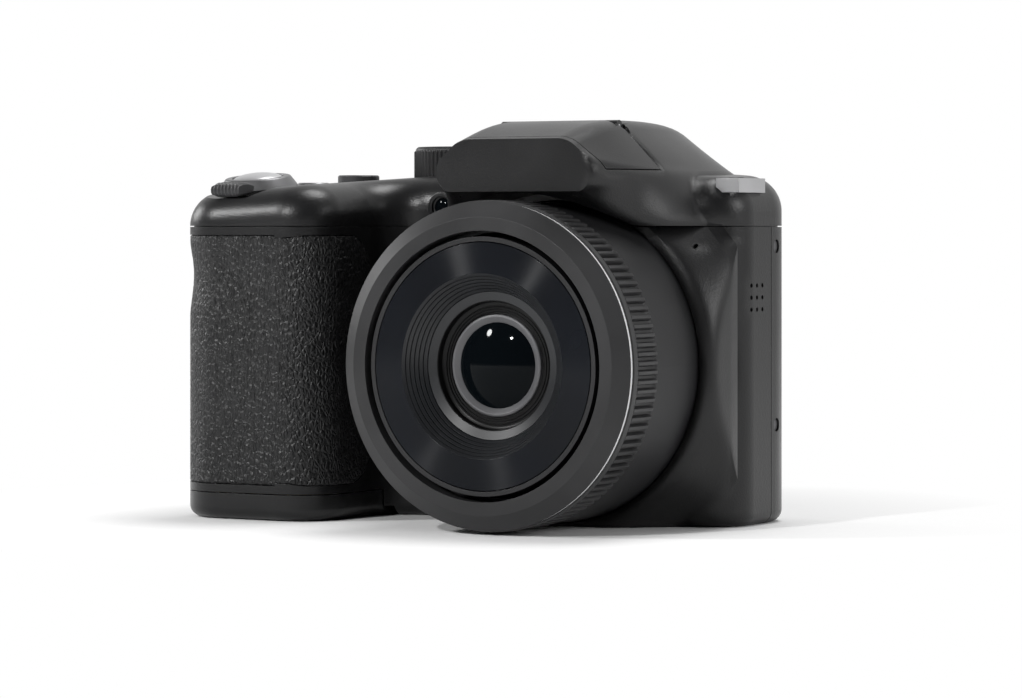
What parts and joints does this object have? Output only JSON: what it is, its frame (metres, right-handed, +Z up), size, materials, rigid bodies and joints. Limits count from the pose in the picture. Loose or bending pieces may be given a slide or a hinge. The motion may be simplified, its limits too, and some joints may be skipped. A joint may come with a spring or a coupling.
{
  "type": "bridge camera",
  "caption": "Compact bridge camera with a deep hand grip, a telescoping zoom lens, a pop-up flash over the lens, a mode dial and a rear screen.",
  "frame": {"origin": "mouth of the tripod socket, in the middle of the socket on the base plane", "axes": "+Z up, +Y to the back of the camera, +X to the user's left hand; the lens looks along -Y"},
  "size_m": [0.113, 0.0702, 0.0792],
  "materials": {
    "body_plastic": "fine-grained black moulded plastic",
    "grip_rubber": "black rubber with a leather grain",
    "ring_plastic": "satin black moulded plastic",
    "key_plastic": "satin dark grey plastic",
    "silver_trim": "satin silver plating",
    "face_gloss": "glossy blue-black plastic",
    "lens_black": "matt black lens plastic",
    "coated_glass": "coated optical glass",
    "clear_plastic": "clear plastic",
    "screen_cover": "glossy dark screen cover",
    "steel": "plated steel",
    "gear_plastic": "off-white acetal",
    "inner_plastic": "dark structural plastic",
    "reflector": "bright reflector",
    "circuit_board": "green circuit board with components",
    "electronics": "component housings",
    "cell_jacket": "printed cell jackets"
  },
  "bodies": {
    "camera_body": {"aa_cells": "cell_jacket", "af_lamp": "clear_plastic", "battery_chamber": "inner_plastic", "card_slot": "inner_plastic", "case_screws": "steel", "contact_plates": "steel", "door_pin": "steel", "fixed_barrel": "body_plastic", "flash_capacitor": "electronics", "flash_pin": "steel", "front_cover": "body_plastic", "grip_skin": "grip_rubber", "image_sensor": "electronics", "lcd_module": "electronics", "lcd_window": "screen_cover", "lens_base": "inner_plastic", "main_board": "circuit_board", "memory_card": "electronics", "microphone": "electronics", "name_ring": "ring_plastic", "rear_cover": "body_plastic", "rear_element": "coated_glass", "ribbed_ring": "ring_plastic", "silver_ring": "silver_trim", "speaker": "electronics", "strap_lugs": "steel", "thumb_rest": "grip_rubber", "top_cover": "body_plastic", "tripod_bush": "steel", "usb_socket": "electronics", "zoom_motor": "steel"},
    "cam_ring": {"cam_ring": "lens_black"},
    "idler_gear": {"idler_gear": "gear_plastic"},
    "motor_pinion": {"motor_pinion": "gear_plastic"},
    "mode_dial": {"mode_dial": "ring_plastic"},
    "zoom_lever": {"zoom_lever": "silver_trim"},
    "shutter_button": {"shutter_button": "silver_trim"},
    "power_button": {"power_button": "silver_trim"},
    "burst_button": {"burst_button": "silver_trim"},
    "video_button": {"video_button": "key_plastic"},
    "playback_button": {"playback_button": "key_plastic"},
    "menu_button": {"menu_button": "key_plastic"},
    "delete_button": {"delete_button": "key_plastic"},
    "control_pad": {"control_pad": "key_plastic"},
    "set_button": {"set_button": "key_plastic"},
    "door_lock": {"door_lock": "body_plastic"},
    "port_cover": {"port_cover": "body_plastic"},
    "stage_1": {"stage_1_barrel": "lens_black", "relay_element": "coated_glass"},
    "stage_2": {"stage_2_barrel": "lens_black", "face_ring": "face_gloss", "front_cell": "lens_black", "front_element": "coated_glass", "retaining_ring": "silver_trim"},
    "flash_head": {"flash_lid": "body_plastic", "flash_window": "clear_plastic", "flash_reflector": "reflector", "flash_tube": "clear_plastic"},
    "battery_door": {"battery_door": "body_plastic", "door_contacts": "steel"}
  },
  "joints": [
    {"name": "cam_ring_turn", "type": "hinge", "parent": "camera_body", "child": "cam_ring", "pos_m": [0.0317, 0, 0.032], "axis": [0, 1, 0], "range_deg": [0, 120]},
    {"name": "stage_1_slide", "type": "slide", "parent": "camera_body", "child": "stage_1", "axis": [0, -1, 0], "range_m": [0, 0.018]},
    {"name": "stage_2_slide", "type": "slide", "parent": "stage_1", "child": "stage_2", "axis": [0, -1, 0], "range_m": [0, 0.018]},
    {"name": "idler_turn", "type": "hinge", "parent": "camera_body", "child": "idler_gear", "pos_m": [0.0021, 0.0065, 0.02123], "axis": [0, 1, 0], "range_deg": [-830, 0]},
    {"name": "pinion_turn", "type": "hinge", "parent": "camera_body", "child": "motor_pinion", "pos_m": [-0.00401, 0.0065, 0.019], "axis": [0, 1, 0], "range_deg": [0, 1325]},
    {"name": "flash_lid_hinge", "type": "hinge", "parent": "camera_body", "child": "flash_head", "pos_m": [0.0317, -0.0157, 0.0779], "axis": [-1, 0, 0], "range_deg": [0, 60]},
    {"name": "mode_dial_turn", "type": "hinge", "parent": "camera_body", "child": "mode_dial", "pos_m": [-0.006, 0.009, 0.0692], "axis": [0, 0, 1], "continuous": true},
    {"name": "zoom_lever_turn", "type": "hinge", "parent": "camera_body", "child": "zoom_lever", "pos_m": [-0.0346, -0.023, 0.0664], "axis": [0, -0.1305, 0.9914], "range_deg": [-25, 25], "stiffness_Nm_per_rad": 0.02},
    {"name": "shutter_button_press", "type": "slide", "parent": "camera_body", "child": "shutter_button", "axis": [0, 0.1305, -0.9914], "range_m": [0, 0.0008], "stiffness_N_per_m": 500},
    {"name": "power_button_press", "type": "slide", "parent": "camera_body", "child": "power_button", "axis": [0, 0, -1], "range_m": [0, 0.0005], "stiffness_N_per_m": 600},
    {"name": "burst_button_press", "type": "slide", "parent": "camera_body", "child": "burst_button", "axis": [0, 0, -1], "range_m": [0, 0.0004], "stiffness_N_per_m": 600},
    {"name": "video_button_press", "type": "slide", "parent": "camera_body", "child": "video_button", "axis": [0, -1, 0], "range_m": [0, 0.0005], "stiffness_N_per_m": 600},
    {"name": "playback_button_press", "type": "slide", "parent": "camera_body", "child": "playback_button", "axis": [0, -1, 0], "range_m": [0, 0.0005], "stiffness_N_per_m": 600},
    {"name": "menu_button_press", "type": "slide", "parent": "camera_body", "child": "menu_button", "axis": [0, -1, 0], "range_m": [0, 0.0005], "stiffness_N_per_m": 600},
    {"name": "delete_button_press", "type": "slide", "parent": "camera_body", "child": "delete_button", "axis": [0, -1, 0], "range_m": [0, 0.0005], "stiffness_N_per_m": 600},
    {"name": "control_pad_press", "type": "slide", "parent": "camera_body", "child": "control_pad", "axis": [0, -1, 0], "range_m": [0, 0.0004], "stiffness_N_per_m": 600},
    {"name": "set_button_press", "type": "slide", "parent": "camera_body", "child": "set_button", "axis": [0, -1, 0], "range_m": [0, 0.0005], "stiffness_N_per_m": 600},
    {"name": "battery_door_hinge", "type": "hinge", "parent": "camera_body", "child": "battery_door", "pos_m": [-0.0105, 0.0003, 0.001], "axis": [0, -1, 0], "range_deg": [0, 90]},
    {"name": "door_lock_slide", "type": "slide", "parent": "battery_door", "child": "door_lock", "axis": [-1, 0, 0], "range_m": [0, 0.003]},
    {"name": "port_cover_hinge", "type": "hinge", "parent": "camera_body", "child": "port_cover", "pos_m": [-0.0464, 0.0058, 0.038], "axis": [0, 0, -1], "range_deg": [0, 90]}
  ],
  "couplings": [
    {"joint": "stage_1_slide", "follows": "cam_ring_turn", "m_per_rad": 0.00859},
    {"joint": "stage_2_slide", "follows": "cam_ring_turn", "m_per_rad": 0.00859},
    {"joint": "idler_turn", "follows": "cam_ring_turn", "ratio": -6.875},
    {"joint": "pinion_turn", "follows": "cam_ring_turn", "ratio": 11}
  ]
}
